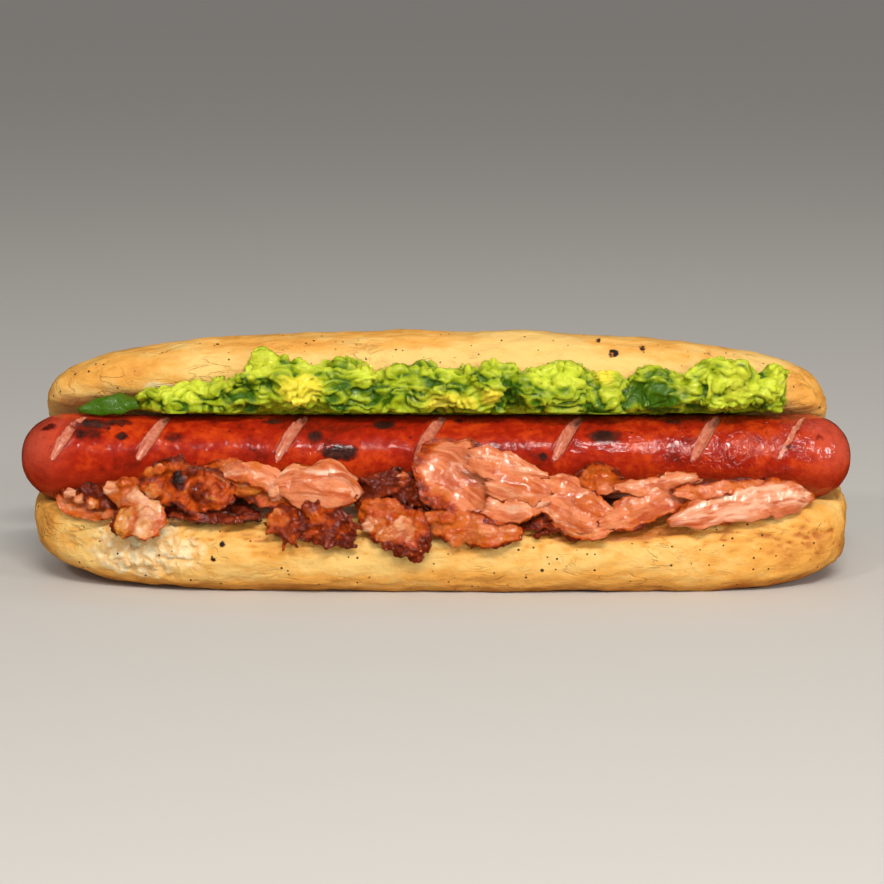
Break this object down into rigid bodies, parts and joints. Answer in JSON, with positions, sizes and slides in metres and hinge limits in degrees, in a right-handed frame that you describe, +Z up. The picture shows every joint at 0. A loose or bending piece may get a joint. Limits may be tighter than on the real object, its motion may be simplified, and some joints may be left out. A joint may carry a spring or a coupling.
{
  "type": "hot dog",
  "caption": "Grilled sausage in a side-cut bun lying on its flat side, with avocado mash above the scored sausage and torn bacon in front.",
  "frame": {"origin": "middle of the box round the hot dog, on the flat underside that it rests on", "axes": "+X along the sausage to the right, +Y from the open front to the hinge of the bun, +Z up"},
  "size_m": [0.21, 0.0634, 0.063],
  "materials": {
    "bread": "dry baked crust",
    "sausage": "glossy grilled skin",
    "avocado": "moist mash",
    "bacon": "greasy grilled meat"
  },
  "bodies": {
    "root": {"bun": "bread", "sausage": "sausage", "avocado_mash": "avocado", "avocado_sliver": "avocado", "bacon_back_band": "bacon", "bacon_big_slice": "bacon", "bacon_cup": "bacon", "bacon_dark_crisp": "bacon", "bacon_fat_piece": "bacon", "bacon_hanging_fat": "bacon", "bacon_left_crest": "bacon", "bacon_left_curl": "bacon", "bacon_left_knob": "bacon", "bacon_lower_crisp": "bacon", "bacon_lower_pink": "bacon", "bacon_pink_curl": "bacon", "bacon_right_fold": "bacon", "bacon_right_slice": "bacon", "bacon_right_twist": "bacon", "bacon_rim_strip": "bacon", "bacon_small_pink": "bacon", "bacon_thin_strand": "bacon"}
  },
  "joints": []
}
